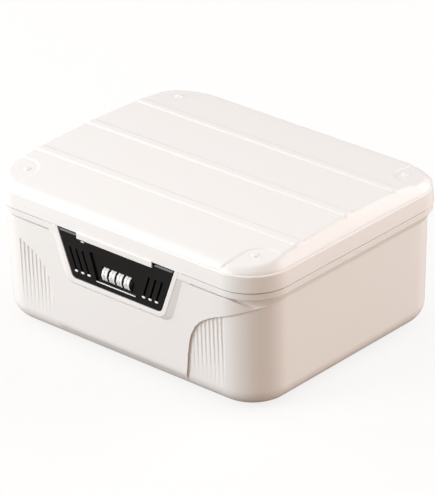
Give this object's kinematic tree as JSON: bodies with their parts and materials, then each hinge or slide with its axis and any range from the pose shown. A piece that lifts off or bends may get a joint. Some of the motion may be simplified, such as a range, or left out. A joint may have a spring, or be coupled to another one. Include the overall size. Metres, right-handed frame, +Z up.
{
  "type": "medication lock box",
  "caption": "Rounded plastic lock box with a crowned, ribbed, hinged lid and a rocking front press latch that carries code dials.",
  "frame": {"origin": "on the surface that it stands on, under the middle of the box", "axes": "+X runs right along the front as seen by its user, +Y to the hinges at the back, +Z up"},
  "size_m": [0.26, 0.2134, 0.1179],
  "materials": {
    "shell": "warm off-white injection-moulded plastic, satin gloss",
    "plate": "black moulded plastic, fine satin",
    "dial": "white moulded plastic, polished",
    "inner": "dark grey glass-filled plastic, matte",
    "button": "red moulded plastic, satin",
    "rubber": "grey moulded rubber, matte",
    "steel": "zinc-plated steel, satin"
  },
  "bodies": {
    "tub": {"base_shell": "shell", "rubber_foot_1": "rubber", "rubber_foot_2": "rubber", "rubber_foot_3": "rubber", "rubber_foot_4": "rubber", "hinge_pin_left": "steel", "hinge_pin_right": "steel", "latch_pivot_pin_left": "steel", "latch_pivot_pin_right": "steel", "latch_spring_left": "steel", "latch_spring_right": "steel", "lock_cover": "inner", "cover_screw_1": "steel", "cover_screw_2": "steel", "cover_screw_3": "steel", "cover_screw_4": "steel", "blocking_comb": "steel", "comb_screw_left": "steel", "comb_screw_right": "steel", "reset_spring": "steel"},
    "lid": {"lid_shell": "shell"},
    "latch": {"lock_plate": "plate", "wheel_carrier": "inner", "carrier_screw_1": "steel", "carrier_screw_2": "steel", "carrier_screw_3": "steel", "carrier_screw_4": "steel", "detent_spring": "steel", "wheel_shaft": "steel", "shaft_clip_left": "steel", "shaft_clip_right": "steel"},
    "dial_1": {"code_wheel_1": "dial", "cam_disc_1": "inner"},
    "dial_2": {"code_wheel_2": "dial", "cam_disc_2": "inner"},
    "dial_3": {"code_wheel_3": "dial", "cam_disc_3": "inner"},
    "dial_4": {"code_wheel_4": "dial", "cam_disc_4": "inner"},
    "button": {"reset_button": "button"}
  },
  "joints": [
    {"name": "lid_hinge", "type": "hinge", "parent": "tub", "child": "lid", "pos_m": [0, 0.104, 0.0876], "axis": [-1, 0, 0], "range_deg": [0, 105]},
    {"name": "latch_press", "type": "hinge", "parent": "tub", "child": "latch", "pos_m": [0, -0.0991, 0.0612], "axis": [-1, 0, 0], "range_deg": [0, 3.5], "stiffness_Nm_per_rad": 0.3, "springref_deg": -2.86, "deforming": ["latch_spring_left", "latch_spring_right"]},
    {"name": "dial_1_spin", "type": "hinge", "parent": "latch", "child": "dial_1", "pos_m": [-0.01041, -0.1002, 0.0685], "axis": [1, 0, 0], "continuous": true},
    {"name": "dial_2_spin", "type": "hinge", "parent": "latch", "child": "dial_2", "pos_m": [-0.00347, -0.1002, 0.0685], "axis": [1, 0, 0], "continuous": true},
    {"name": "dial_3_spin", "type": "hinge", "parent": "latch", "child": "dial_3", "pos_m": [0.00347, -0.1002, 0.0685], "axis": [1, 0, 0], "continuous": true},
    {"name": "dial_4_spin", "type": "hinge", "parent": "latch", "child": "dial_4", "pos_m": [0.01041, -0.1002, 0.0685], "axis": [1, 0, 0], "continuous": true},
    {"name": "reset_press", "type": "slide", "parent": "tub", "child": "button", "axis": [0, -1, 0], "range_m": [0, 0.002], "stiffness_N_per_m": 30, "springref_m": -0.001, "deforming": ["reset_spring"]}
  ]
}
